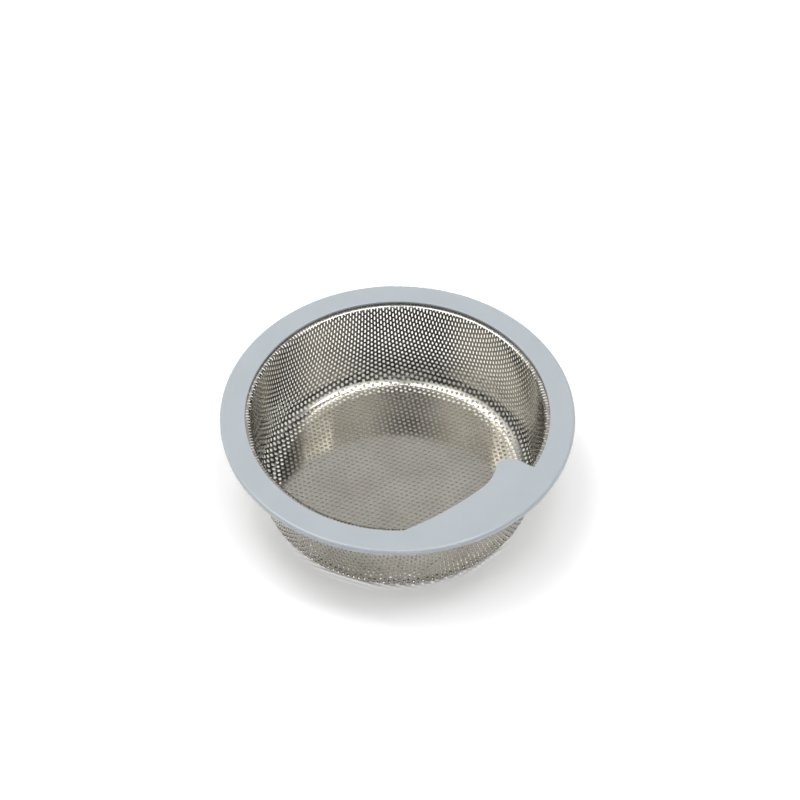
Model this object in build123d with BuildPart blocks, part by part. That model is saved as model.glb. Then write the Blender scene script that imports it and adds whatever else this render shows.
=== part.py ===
# Basket strainer for a kitchen sink drain, in build123d.
#
# Two pieces: a deep-drawn cup of punched stainless sheet, and a plastic rim moulded round
# the cup's flange, with a finger tab that reaches in over the cup.
# Millimetres, +Z up. The origin is on the axis, in the plane that the flat bottom rests on.
# The tab is at the front right, where front is -Y.

import os
from math import cos, hypot, radians, sin

from build123d import *

# Driving dimensions
HEIGHT = 45.0             # from the flat bottom to the top face of the rim

RIM_RADIUS = 72.5         # outer edge of the rim
RIM_BORE_RADIUS = 62.2    # the opening inside the ring
RIM_THICKNESS = 2.6
RIM_COVER = 1.3           # plastic above the basket's flange, which is also the tab's thickness
RIM_TOP_ROUND = 1.1       # rounding of the top outer edge
RIM_BOTTOM_ROUND = 0.5    # rounding of the bottom outer edge
OPENING_TOP_ROUND = 0.45  # rounding along the opening's top edge, tab included
OPENING_UNDER_ROUND = 0.25  # the same along its bottom edge

SHEET = 0.3               # thickness of the basket's sheet
MOUTH_RADIUS = 60.0       # inside of the wall, where it starts to turn out into the flange
FLANGE_RADIUS = 69.0      # outer edge of the flange, buried in the rim
MOUTH_BEND = 1.1          # inside radius of the bend from wall to flange
FOOT_RADIUS = 57.85       # inside of the wall, if it ran on down to the floor
CORNER_RADIUS = 6.2       # inside radius between floor and wall

# The tab's outline, seen from above. Its long edge leaves the opening at TAB_ROOT, curves
# through the throat into the finger lobe, and comes back to the opening at TAB_NOTCH.
TAB_ROOT_AZIMUTH = -88.0
TAB_ROOT_HEADING = 26.0   # direction in which the long edge sets off
TAB_THROAT_START = (33.4, -40.8)
TAB_LOBE_START = (38.9, -30.5)
TAB_LOBE_TOP = (44.3, -26.1)
TAB_LOBE_END = (49.7, -27.85)
TAB_NOTCH_AZIMUTH = -29.6
TAB_ROOT_ROUND = 3.0      # rounding where the long edge leaves the opening
TAB_NOTCH_ROUND = 0.6     # rounding at the foot of the notch
TAB_JOIN_RADIUS = 65.0    # how far out the tab's outline runs into the ring, to join it

CLOSE = 0.01              # how near counts as the same radius

# Levels that follow from them
rim_bottom = HEIGHT - RIM_THICKNESS
flange_top = HEIGHT - RIM_COVER
flange_bottom = flange_top - SHEET


def around(radius, azimuth):
    """The point at this radius and azimuth, in the XY plane."""
    return (radius * cos(radians(azimuth)), radius * sin(radians(azimuth)))


def level_edges(part, level, reach):
    """The part's edges that lie flat at this level and come no further out than this radius."""
    flat = part.edges().filter_by_position(Axis.Z, level, level)
    return flat.filter_by(lambda edge: hypot((edge @ 0.5).X, (edge @ 0.5).Y) < reach + CLOSE)


# basket: the cup's outside line, from the axis to the flange, offset inwards by the sheet
outer_corner = CORNER_RADIUS + SHEET
outer_bend = MOUTH_BEND - SHEET
wall_foot = (FOOT_RADIUS + SHEET, 0.0)
wall_top = (MOUTH_RADIUS + SHEET, flange_bottom)

with BuildPart() as basket:
    with BuildSketch(Plane.XZ):
        with BuildLine():
            outside = FilletPolyline(
                (0.0, 0.0), wall_foot, wall_top, (FLANGE_RADIUS, flange_bottom),
                radius=[outer_corner, outer_bend],
            )
            offset(outside, amount=SHEET, side=Side.LEFT, closed=True)
        make_face()
    revolve(axis=Axis.Z)

# rim: the opening in its cover is the ring's bore, less the tab
with BuildSketch() as opening:
    Circle(RIM_BORE_RADIUS)
    with BuildLine():
        root = around(RIM_BORE_RADIUS, TAB_ROOT_AZIMUTH)
        notch = around(RIM_BORE_RADIUS, TAB_NOTCH_AZIMUTH)
        long_edge = TangentArc(root, TAB_THROAT_START, tangent=around(1.0, TAB_ROOT_HEADING))
        throat = TangentArc(TAB_THROAT_START, TAB_LOBE_START, tangent=long_edge % 1)
        lobe_left = TangentArc(TAB_LOBE_START, TAB_LOBE_TOP, tangent=throat % 1)
        TangentArc(TAB_LOBE_TOP, TAB_LOBE_END, tangent=lobe_left % 1)
        Polyline(TAB_LOBE_END, notch, around(TAB_JOIN_RADIUS, TAB_NOTCH_AZIMUTH))
        ThreePointArc(
            around(TAB_JOIN_RADIUS, TAB_NOTCH_AZIMUTH),
            around(TAB_JOIN_RADIUS, (TAB_ROOT_AZIMUTH + TAB_NOTCH_AZIMUTH) / 2),
            around(TAB_JOIN_RADIUS, TAB_ROOT_AZIMUTH),
        )
        Line(around(TAB_JOIN_RADIUS, TAB_ROOT_AZIMUTH), root)
    make_face(mode=Mode.SUBTRACT)
    fillet(opening.vertices().sort_by_distance(root)[0], radius=TAB_ROOT_ROUND)
    fillet(opening.vertices().sort_by_distance(notch)[0], radius=TAB_NOTCH_ROUND)

# Three layers, so that the middle one leaves the groove that holds the flange
with BuildPart() as rim:
    with BuildSketch(Plane.XY.offset(rim_bottom)):
        Circle(RIM_RADIUS)
        Circle(RIM_BORE_RADIUS, mode=Mode.SUBTRACT)
    extrude(amount=flange_bottom - rim_bottom)

    with BuildSketch(Plane.XY.offset(flange_bottom)):
        Circle(RIM_RADIUS)
        Circle(FLANGE_RADIUS, mode=Mode.SUBTRACT)
    extrude(amount=SHEET)

    with BuildSketch(Plane.XY.offset(flange_top)):
        Circle(RIM_RADIUS)
        add(opening.sketch, mode=Mode.SUBTRACT)
    extrude(amount=RIM_COVER)

    top_edges = rim.edges().filter_by_position(Axis.Z, HEIGHT, HEIGHT).sort_by(SortBy.LENGTH)
    fillet(top_edges[-1], radius=RIM_TOP_ROUND)
    fillet(level_edges(rim, HEIGHT, RIM_BORE_RADIUS), radius=OPENING_TOP_ROUND)
    fillet(level_edges(rim, flange_top, RIM_BORE_RADIUS), radius=OPENING_UNDER_ROUND)
    bottom_edges = rim.edges().filter_by_position(Axis.Z, rim_bottom, rim_bottom)
    fillet(bottom_edges.sort_by(SortBy.RADIUS)[-1], radius=RIM_BOTTOM_ROUND)

basket.part.label = "basket"
rim.part.label = "rim"

os.makedirs("parts", exist_ok=True)
for piece in (basket, rim):
    export_step(piece.part, f"parts/{piece.part.label}.step")
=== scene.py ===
"""Basket strainer for a kitchen sink drain: a cup of punched stainless sheet in a plastic rim.

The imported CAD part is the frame. Its rim is shown as it is, with a moulded plastic
material. Its cup is a plain shell, so it is replaced here by the punched sheet: a hexagonal
lattice of round holes in a flat blank, drawn into the cup's shape the way the press does it.
Metres, +Z up. The tab is at the front right, where front is -Y.
"""

import bpy
import numpy as np
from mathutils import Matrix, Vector


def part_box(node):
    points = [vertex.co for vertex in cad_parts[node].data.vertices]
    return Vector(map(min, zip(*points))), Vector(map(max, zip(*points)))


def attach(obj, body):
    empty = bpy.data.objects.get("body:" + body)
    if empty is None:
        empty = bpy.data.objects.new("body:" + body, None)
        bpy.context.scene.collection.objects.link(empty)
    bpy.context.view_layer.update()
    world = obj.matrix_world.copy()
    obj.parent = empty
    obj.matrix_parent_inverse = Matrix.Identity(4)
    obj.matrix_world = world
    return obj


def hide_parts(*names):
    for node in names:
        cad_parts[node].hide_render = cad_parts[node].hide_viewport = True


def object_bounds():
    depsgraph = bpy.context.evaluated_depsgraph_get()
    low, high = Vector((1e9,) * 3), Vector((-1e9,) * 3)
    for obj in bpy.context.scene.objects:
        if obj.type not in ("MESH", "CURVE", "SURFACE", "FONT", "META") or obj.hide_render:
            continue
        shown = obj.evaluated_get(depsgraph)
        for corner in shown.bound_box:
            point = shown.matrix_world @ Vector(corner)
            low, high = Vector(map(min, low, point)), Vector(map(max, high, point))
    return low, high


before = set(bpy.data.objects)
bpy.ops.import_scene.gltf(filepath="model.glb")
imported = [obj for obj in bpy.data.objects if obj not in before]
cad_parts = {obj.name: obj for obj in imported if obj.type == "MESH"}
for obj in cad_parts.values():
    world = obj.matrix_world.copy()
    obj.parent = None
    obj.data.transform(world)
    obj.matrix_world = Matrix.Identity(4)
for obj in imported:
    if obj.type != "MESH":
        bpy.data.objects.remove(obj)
cad_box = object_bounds()

MM = 0.001
TINY = 1e-9               # stands in for a radius of zero where it divides

# The cup's outside line, as in the CAD: its height and flange come from the frame
SHEET = 0.3 * MM          # thickness of the sheet
FOOT_RADIUS = 58.15 * MM  # outside of the wall, if it ran on down to the floor
MOUTH_RADIUS = 60.3 * MM  # outside of the wall, under the flange
CORNER_BEND = 6.5 * MM    # outside radius between floor and wall
MOUTH_BEND = 0.8 * MM     # outside radius between wall and flange
PROFILE_STEPS = 20000     # steps in which that line is worked out

# The punched blank
PITCH = 2.31 * MM
HOLE_RADIUS = 0.70 * MM
ROLLOVER = 0.03 * MM      # rounding that the punch leaves on the inside edge of each hole
LATTICE_TURN = 40.0       # degrees from +X to the nearest row of holes
LATTICE_SHIFT = MM * np.array([0.29, -0.04])  # from the axis to the nearest hole
# How the blank is drawn: radius in the blank, and distance along the cup's outside line
DRAWN = MM * np.array([
    (0.0, 0.0), (53.0, 53.0), (65.7, 68.0), (73.0, 76.0),
    (80.0, 84.0), (86.5, 92.0), (91.1, 98.0), (98.4, 107.6),
])
# High on the wall the holes are ovals: how much longer up it and narrower across it, in the
# blank, and the blank's radii between which that comes on
OVAL_UP = 1.25
OVAL_ACROSS = 0.62
OVAL_FROM = (60.0 * MM, 85.0 * MM)

# The mesh: the cup is made in bands, each out to a radius in the blank
BANDS = {"floor": 52.0 * MM, "corner": 72.0 * MM, "wall": 90.0 * MM, "mouth": 97.0 * MM}
SAME_POINT = 0.001 * MM   # corners of neighbouring cells that are this close are one point
RING = 12                 # points round each hole
SPOKE_ANGLES = np.radians(LATTICE_TURN) + np.arange(RING) * 2 * np.pi / RING
SPOKES = np.stack([np.cos(SPOKE_ANGLES), np.sin(SPOKE_ANGLES)], -1)

# The flat layout of a band: a disc for the inside face and one for the underside
LAYOUT_RADIUS = 0.28
LAYOUT_MARGIN = 0.01
LAYOUT_WALL = 0.6         # where the far end of a hole's wall lies, as a share of its radius
LAYOUT_EDGE = 0.008       # width given to the band's edge, as a share of its radius


# The cup's shape

def cup_profile():
    """Arc length, radius, height and heading of the cup's outside line, finely sampled."""
    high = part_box("basket")[1]
    flange_level = high.z - SHEET
    slope = np.arctan2(flange_level, MOUTH_RADIUS - FOOT_RADIUS)
    wall = np.hypot(flange_level, MOUTH_RADIUS - FOOT_RADIUS)
    corner_cut = CORNER_BEND * np.tan(slope / 2)
    mouth_cut = MOUTH_BEND * np.tan(slope / 2)
    # Each run's length, and the heading at its end
    runs = [
        (FOOT_RADIUS - corner_cut, 0.0),
        (CORNER_BEND * slope, slope),
        (wall - corner_cut - mouth_cut, slope),
        (MOUTH_BEND * slope, 0.0),
        (high.x - MOUTH_RADIUS - mouth_cut, 0.0),
    ]
    knots = np.concatenate([[0.0], np.cumsum([length for length, _ in runs])])
    headings = np.array([0.0] + [heading for _, heading in runs])
    s = np.union1d(np.linspace(0.0, knots[-1], PROFILE_STEPS + 1), knots)
    heading = np.interp(s, knots, headings)
    step = np.diff(s)
    middle = (heading[1:] + heading[:-1]) / 2
    r = np.concatenate([[0.0], np.cumsum(step * np.cos(middle))])
    z = np.concatenate([[0.0], np.cumsum(step * np.sin(middle))])
    return s, r, z, heading


PROFILE = cup_profile()


def drawn(blank, depth):
    """Points and inside normals on the cup for points of the flat blank.

    depth is how far below the sheet's inside face each point lies."""
    s, r, z, heading = PROFILE
    radius = np.hypot(blank[..., 0], blank[..., 1])
    along = np.minimum(np.interp(radius, DRAWN[:, 0], DRAWN[:, 1]), s[-1])
    tilt = np.interp(along, s, heading)
    out = np.interp(along, s, r) - np.sin(tilt) * (SHEET - depth)
    up = np.interp(along, s, z) + np.cos(tilt) * (SHEET - depth)
    turn = blank / np.maximum(radius, TINY)[..., None]
    point = np.stack([turn[..., 0] * out, turn[..., 1] * out, up], -1)
    inward = -np.sin(tilt)
    normal = np.stack([turn[..., 0] * inward, turn[..., 1] * inward, np.cos(tilt)], -1)
    return point, normal


def hole_sites():
    """Centres of the punched holes in the flat blank."""
    edge = max(BANDS.values())
    count = int(2 * edge / PITCH)
    rows = np.radians([LATTICE_TURN, LATTICE_TURN + 60.0])
    basis = PITCH * np.stack([np.cos(rows), np.sin(rows)], -1)
    i, j = np.mgrid[-count:count + 1, -count:count + 1].reshape(2, -1)
    sites = i[:, None] * basis[0] + j[:, None] * basis[1] + LATTICE_SHIFT
    return sites[np.hypot(*sites.T) < edge]


def hole_outline(sites):
    """The outline of each hole about its centre in the blank, for a hole of radius 1.

    Drawing opens the holes up the wall and closes them across it, more than it does the sheet
    as a whole, so higher up they are ovals."""
    radius = np.hypot(*sites.T)[:, None]
    outward = sites / np.maximum(radius, TINY)
    across = np.stack([-outward[:, 1], outward[:, 0]], -1)
    start, end = OVAL_FROM
    share = np.clip((radius - start) / (end - start), 0.0, 1.0)[..., None]
    longer = 1 + (OVAL_UP - 1) * share
    narrower = 1 + (OVAL_ACROSS - 1) * share
    up_part = (outward @ SPOKES.T)[..., None] * outward[:, None] * longer
    across_part = (across @ SPOKES.T)[..., None] * across[:, None] * narrower
    return up_part + across_part


def hole_rings(sites):
    """The rings round each hole in the blank: the edge of its rollover, its bore, and one
    inside the bore, where the far end of its wall lies in the flat layout."""
    outline = hole_outline(sites)
    sizes = [HOLE_RADIUS + ROLLOVER, HOLE_RADIUS, HOLE_RADIUS * LAYOUT_WALL]
    return [sites[:, None] + outline * size for size in sizes]


# The cup's mesh

def cell_net(sites, outermost):
    """The six-sided cells round the holes: points, their numbers round each cell, border edges."""
    reach = np.where(np.arange(RING) % 2, PITCH / np.sqrt(3), PITCH / 2)[:, None]
    cells = (sites[:, None] + SPOKES * reach).reshape(-1, 2)
    keys = np.round(cells / SAME_POINT).astype(np.int64)
    _, first, shared = np.unique(keys, axis=0, return_index=True, return_inverse=True)
    net = cells[first]
    numbers = shared.reshape(-1, RING)
    edges = np.stack([numbers, np.roll(numbers, -1, 1)], -1).reshape(-1, 2)
    _, which, uses = np.unique(
        np.sort(edges, 1), axis=0, return_inverse=True, return_counts=True
    )
    border = edges[uses[which.ravel()] == 1]
    if outermost:
        ends = np.unique(border)
        radius = np.hypot(*net[ends].T)
        last = radius > max(BANDS.values()) - PITCH
        net[ends[last]] *= (DRAWN[-1, 0] / radius[last])[:, None]
    return net, numbers, border


def strip(ring_a, ring_b):
    """The four corners of each face between two rings of values, one row for each hole."""
    return np.stack([ring_a, np.roll(ring_a, -1, 1), np.roll(ring_b, -1, 1), ring_b], 2)


def flat_layout(sites, net, numbers, border):
    """Where each face of a band lies in its flat layout, in the order of its faces.

    The inside face has the walls of its holes in its holes, and the underside is beside it."""
    lip, bore, deep = hole_rings(sites)
    cells = net[numbers]
    first, second = net[border[:, 0]], net[border[:, 1]]
    outer_side = np.hypot(*net[border].mean(1).T) > np.hypot(*sites.T).mean()
    aside = np.where(outer_side, 1 + LAYOUT_EDGE, 1 - LAYOUT_EDGE)[:, None]
    inside = [
        strip(cells, lip),
        strip(lip, bore),
        strip(bore, deep),
        strip(bore, cells),
        np.stack([first * aside, second * aside, second, first], 1),
    ]
    above = LAYOUT_MARGIN + LAYOUT_RADIUS
    below = 1 - LAYOUT_MARGIN - LAYOUT_RADIUS
    middles = [above, above, above, below, above]
    edge = np.hypot(*net.T).max()
    return [middle + LAYOUT_RADIUS * face / edge for middle, face in zip(middles, inside)]


def add_mesh(name, points, quads, normals, uvs):
    """A mesh object of four-sided faces, with its shading normals and its flat layout."""
    mesh = bpy.data.meshes.new(name)
    mesh.vertices.add(len(points))
    mesh.vertices.foreach_set("co", points.astype(np.float32).ravel())
    mesh.loops.add(quads.size)
    mesh.loops.foreach_set("vertex_index", quads.astype(np.int32).ravel())
    mesh.polygons.add(len(quads))
    mesh.polygons.foreach_set("loop_start", np.arange(0, quads.size, 4, dtype=np.int32))
    mesh.polygons.foreach_set("use_smooth", np.ones(len(quads), bool))
    mesh.update(calc_edges=True)
    layout = mesh.uv_layers.new(name="OFBake")
    layout.data.foreach_set("uv", uvs.astype(np.float32).ravel())
    mesh.normals_split_custom_set(normals.reshape(-1, 3).astype(np.float32))
    piece = bpy.data.objects.new(name, mesh)
    bpy.context.scene.collection.objects.link(piece)
    return piece


def punched_band(name, sites, outermost):
    """A closed piece of the drawn sheet: one six-sided cell with a hole round each site."""
    net, numbers, border = cell_net(sites, outermost)
    lip, bore, _ = hole_rings(sites)

    # Points: the net on the inside face, the hole's lip, bore and exit, and the net underneath
    levels = [(net, 0.0), (lip, 0.0), (bore, ROLLOVER), (bore, SHEET), (net, SHEET)]
    places, facings = zip(*[drawn(blank, depth) for blank, depth in levels])
    starts = np.cumsum([0] + [place.size // 3 for place in places])
    rings = np.arange(lip.size // 2).reshape(-1, RING)
    lip_i, bore_i, exit_i = starts[1] + rings, starts[2] + rings, starts[3] + rings
    first, second = border[:, 0], border[:, 1]
    quads = [
        strip(numbers, lip_i),
        strip(lip_i, bore_i),
        strip(bore_i, exit_i),
        strip(exit_i, starts[4] + numbers),
        np.stack([starts[4] + first, starts[4] + second, second, first], 1),
    ]

    # Shading normals: the sheet's two faces, and the wall of each hole. The band's edge has
    # none of its own, so it is shaded as it lies.
    along = np.roll(places[2], -1, 1) - np.roll(places[2], 1, 1)
    into = np.cross(facings[2], along)
    into /= np.linalg.norm(into, axis=-1, keepdims=True)
    normals = [
        strip(facings[0][numbers], facings[1]),
        strip(facings[1], into),
        strip(into, into),
        strip(-facings[3], -facings[4][numbers]),
        np.zeros((len(border), 4, 3)),
    ]
    return add_mesh(
        name,
        np.concatenate([place.reshape(-1, 3) for place in places]),
        np.concatenate([faces.reshape(-1, 4) for faces in quads]),
        np.concatenate([faces.reshape(-1, 4, 3) for faces in normals]),
        np.concatenate([
            faces.reshape(-1, 4, 2) for faces in flat_layout(sites, net, numbers, border)
        ]),
    )


# Materials

STEEL_DARK = (0.355, 0.336, 0.289, 1)
STEEL_LIGHT = (0.44, 0.420, 0.368, 1)
PLASTIC_DARK = (0.340, 0.372, 0.395, 1)
PLASTIC_LIGHT = (0.354, 0.386, 0.408, 1)
FLOOR_WHITE = (0.92, 0.92, 0.92, 1)
# Grey of the sheet of painted shade under the cup, which stands in for the shadow on the ground
# beneath it
PAINTED_SHADE_GREY = (0.27, 0.266, 0.26, 1)
COLOUR_SPREAD = (0.35, 0.65)  # the noise values that give a ramp's two end colours
VALUE_SPREAD = (0.3, 0.7)     # the noise values that give a range's two end values


def new_material(name):
    """A material, with its node tree and its Principled shader."""
    material = bpy.data.materials.new(name)
    material.use_nodes = True
    tree = material.node_tree
    return material, tree, tree.nodes["Principled BSDF"]


def noise(tree, scale, detail):
    """A noise texture in the part's own coordinates; scale is in features per metre."""
    where = tree.nodes.new("ShaderNodeTexCoord")
    texture = tree.nodes.new("ShaderNodeTexNoise")
    texture.inputs["Scale"].default_value = scale
    texture.inputs["Detail"].default_value = detail
    tree.links.new(where.outputs["Object"], texture.inputs["Vector"])
    return texture.outputs["Fac"]


def ramp(tree, value, low, high):
    """Turns a noise value into a colour between two."""
    node = tree.nodes.new("ShaderNodeValToRGB")
    for stop, position, colour in zip(node.color_ramp.elements, COLOUR_SPREAD, (low, high)):
        stop.position = position
        stop.color = colour
    tree.links.new(value, node.inputs["Fac"])
    return node.outputs["Color"]


def spread(tree, value, low, high):
    """Turns a noise value into a number between two."""
    node = tree.nodes.new("ShaderNodeMapRange")
    node.inputs["From Min"].default_value = VALUE_SPREAD[0]
    node.inputs["From Max"].default_value = VALUE_SPREAD[1]
    node.inputs["To Min"].default_value = low
    node.inputs["To Max"].default_value = high
    tree.links.new(value, node.inputs["Value"])
    return node.outputs["Result"]


def bump(tree, value, strength, distance):
    """Turns a noise value into the shading normal of a surface that is rough by it."""
    node = tree.nodes.new("ShaderNodeBump")
    node.inputs["Strength"].default_value = strength
    node.inputs["Distance"].default_value = distance
    tree.links.new(value, node.inputs["Height"])
    return node.outputs["Normal"]


def stainless():
    """Bright sheet as it comes from the mill, a little uneven in colour and gloss."""
    material, tree, shader = new_material("stainless_sheet")
    shader.inputs["Metallic"].default_value = 1.0
    stain = noise(tree, scale=60.0, detail=3.0)
    cloud = noise(tree, scale=220.0, detail=4.0)
    grain = noise(tree, scale=2600.0, detail=2.0)
    colour = ramp(tree, stain, STEEL_DARK, STEEL_LIGHT)
    roughness = spread(tree, cloud, low=0.08, high=0.14)
    normal = bump(tree, grain, strength=0.25, distance=0.02 * MM)
    tree.links.new(colour, shader.inputs["Base Color"])
    tree.links.new(roughness, shader.inputs["Roughness"])
    tree.links.new(normal, shader.inputs["Normal"])
    return material


def plastic():
    """Pale moulded plastic that lets a little light in, with a fine matt grain."""
    material, tree, shader = new_material("rim_plastic")
    shader.inputs["Roughness"].default_value = 0.20
    shader.inputs["Subsurface Weight"].default_value = 0.6
    shader.inputs["Subsurface Radius"].default_value = (1.0, 1.0, 1.0)
    shader.inputs["Subsurface Scale"].default_value = 1.2 * MM
    cloud = noise(tree, scale=45.0, detail=3.0)
    grain = noise(tree, scale=1800.0, detail=3.0)
    colour = ramp(tree, cloud, PLASTIC_DARK, PLASTIC_LIGHT)
    normal = bump(tree, grain, strength=0.15, distance=0.03 * MM)
    tree.links.new(colour, shader.inputs["Base Color"])
    tree.links.new(normal, shader.inputs["Normal"])
    return material


def matt(name, colour):
    """An even matt material, for the stage."""
    material, _, shader = new_material(name)
    shader.inputs["Base Color"].default_value = colour
    shader.inputs["Roughness"].default_value = 0.8
    shader.inputs["Specular IOR Level"].default_value = 0.1
    return material


# The cup and the rim

steel = stainless()
sites = hole_sites()
site_radius = np.hypot(*sites.T)
inner = 0.0
for band_name, outer in BANDS.items():
    chosen = sites[(site_radius >= inner) & (site_radius < outer)]
    piece = punched_band("basket_" + band_name, chosen, band_name == "mouth")
    piece.data.materials.append(steel)
    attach(piece, "root")
    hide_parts("basket")
    inner = outer

moulded = plastic()
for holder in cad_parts["rim"].material_slots:
    holder.material = moulded


# The stage: a white floor, and a grey sheet that is wholly under the cup's bottom. The sheet is
# painted shade:
# it stands in for the shadow on the ground under the cup, and darkens what shows through its holes

FLOOR_HALF = 3.0
FLOOR_LEVEL = -0.2 * MM
SHADE_SHEET_RADIUS = 50.0 * MM
SHADE_SHEET_LEVEL = -0.1 * MM
SHADE_SHEET_SIDES = 64


def flat_piece(name, outline, level, material):
    """One flat face at this level, its corners anticlockwise from above."""
    mesh = bpy.data.meshes.new(name)
    mesh.from_pydata([(x, y, level) for x, y in outline], [], [tuple(range(len(outline)))])
    mesh.materials.append(material)
    piece = bpy.data.objects.new(name, mesh)
    bpy.context.scene.collection.objects.link(piece)
    return piece


square = [(-1, -1), (1, -1), (1, 1), (-1, 1)]
floor_outline = [(FLOOR_HALF * x, FLOOR_HALF * y) for x, y in square]
floor = flat_piece("floor", floor_outline, FLOOR_LEVEL, matt("floor_white", FLOOR_WHITE))

# The painted shade under the cup: a grey disc just above the floor and inside the cup's foot, in
# place of the shadow there
shade_sheet_angles = np.linspace(0, 2 * np.pi, SHADE_SHEET_SIDES, endpoint=False)
shade_sheet_outline = [(SHADE_SHEET_RADIUS * np.cos(a), SHADE_SHEET_RADIUS * np.sin(a)) for a in shade_sheet_angles]
painted_shade_sheet = flat_piece("painted_shade_sheet", shade_sheet_outline, SHADE_SHEET_LEVEL, matt("painted_shade_grey", PAINTED_SHADE_GREY))


# Lights

LAMP_DISTANCE = 1.1
LAMP_SIZE = (0.34, 0.6)
LAMP_RADIANCE = 6.3
STUDIO_DIM = 0.08         # the surroundings where no glow is
# The glows: azimuth from +X and elevation of the middle, the angles from it at which the glow
# is full and gone, and its strength
GLOWS = [
    (105.0, 58.0, 10.0, 32.0, 0.78),
    (-175.0, 56.0, 8.0, 37.0, 1.95),
    (-35.0, 62.0, 8.0, 30.0, 2.0),
    (-90.0, 67.0, 10.0, 24.0, 0.45),
    (-135.0, 62.0, 4.0, 20.0, 0.5),
    (165.0, 12.0, 10.0, 42.0, 0.45),
    (-8.0, 15.0, 10.0, 42.0, 0.45),
    (-90.0, 12.0, 5.0, 32.0, 0.5),
]


def softbox(name, direction):
    """A rectangular lamp in this direction from the part, facing it."""
    light = bpy.data.lights.new(name, "AREA")
    light.shape = "RECTANGLE"
    light.size, light.size_y = LAMP_SIZE
    light.energy = LAMP_RADIANCE * np.pi * LAMP_SIZE[0] * LAMP_SIZE[1]
    lamp = bpy.data.objects.new(name, light)
    aim = Vector(direction).normalized()
    lamp.location = aim * LAMP_DISTANCE
    lamp.rotation_euler = aim.to_track_quat("Z", "Y").to_euler()
    bpy.context.scene.collection.objects.link(lamp)


def glow(tree, direction, azimuth, elevation, full, gone, strength):
    """How bright a soft round patch of the surroundings is in each direction."""
    a, e = np.radians(azimuth), np.radians(elevation)
    dot = tree.nodes.new("ShaderNodeVectorMath")
    dot.operation = "DOT_PRODUCT"
    dot.inputs[1].default_value = (np.cos(e) * np.cos(a), np.cos(e) * np.sin(a), np.sin(e))
    tree.links.new(direction, dot.inputs[0])
    shade = tree.nodes.new("ShaderNodeMapRange")
    shade.interpolation_type = "SMOOTHSTEP"
    shade.inputs["From Min"].default_value = np.cos(np.radians(gone))
    shade.inputs["From Max"].default_value = np.cos(np.radians(full))
    shade.inputs["To Min"].default_value = 0.0
    shade.inputs["To Max"].default_value = strength
    tree.links.new(dot.outputs["Value"], shade.inputs["Value"])
    return shade.outputs["Result"]


def surroundings():
    """A dim studio with soft patches of light, which the steel mirrors."""
    world = bpy.data.worlds.new("studio")
    bpy.context.scene.world = world
    world.use_nodes = True
    tree = world.node_tree
    direction = tree.nodes.new("ShaderNodeTexCoord").outputs["Generated"]
    total = None
    for patch in GLOWS:
        add = tree.nodes.new("ShaderNodeMath")
        add.operation = "ADD"
        tree.links.new(glow(tree, direction, *patch), add.inputs[0])
        if total is None:
            add.inputs[1].default_value = STUDIO_DIM
        else:
            tree.links.new(total, add.inputs[1])
        total = add.outputs["Value"]
    tree.links.new(total, tree.nodes["Background"].inputs["Color"])


softbox("light_left", (-0.29, 0.14, 0.94))
softbox("light_right", (0.28, -0.04, 0.95))
surroundings()


# The camera looks from the front at the middle of the rim's top face

ELEVATION = 48.139        # degrees
ROLL = 0.14               # degrees
DISTANCE = 0.6558
RIGHT_BY = 0.000984       # how far it is moved over from there, in the plane of its picture
UP_BY = 0.003503
LENS = 72.27              # focal length and sensor width in millimetres
SENSOR_WIDTH = 36.0
CLIP = (0.05, 20.0)


def place_camera():
    """The camera, at the photograph's viewing angle."""
    data = bpy.data.cameras.new("camera")
    data.lens = LENS
    data.sensor_width = SENSOR_WIDTH
    data.clip_start, data.clip_end = CLIP
    camera = bpy.data.objects.new("camera", data)
    bpy.context.scene.collection.objects.link(camera)
    tilt = np.radians(ELEVATION)
    rim_top = cad_box[1].z
    camera.location = (
        RIGHT_BY,
        -DISTANCE * np.cos(tilt) + UP_BY * np.sin(tilt),
        rim_top + DISTANCE * np.sin(tilt) + UP_BY * np.cos(tilt),
    )
    camera.rotation_mode = "ZYX"
    camera.rotation_euler = (np.pi / 2 - tilt, 0.0, np.radians(ROLL))
    return camera


bpy.context.scene.camera = place_camera()
bpy.context.scene.view_settings.view_transform = "Standard"
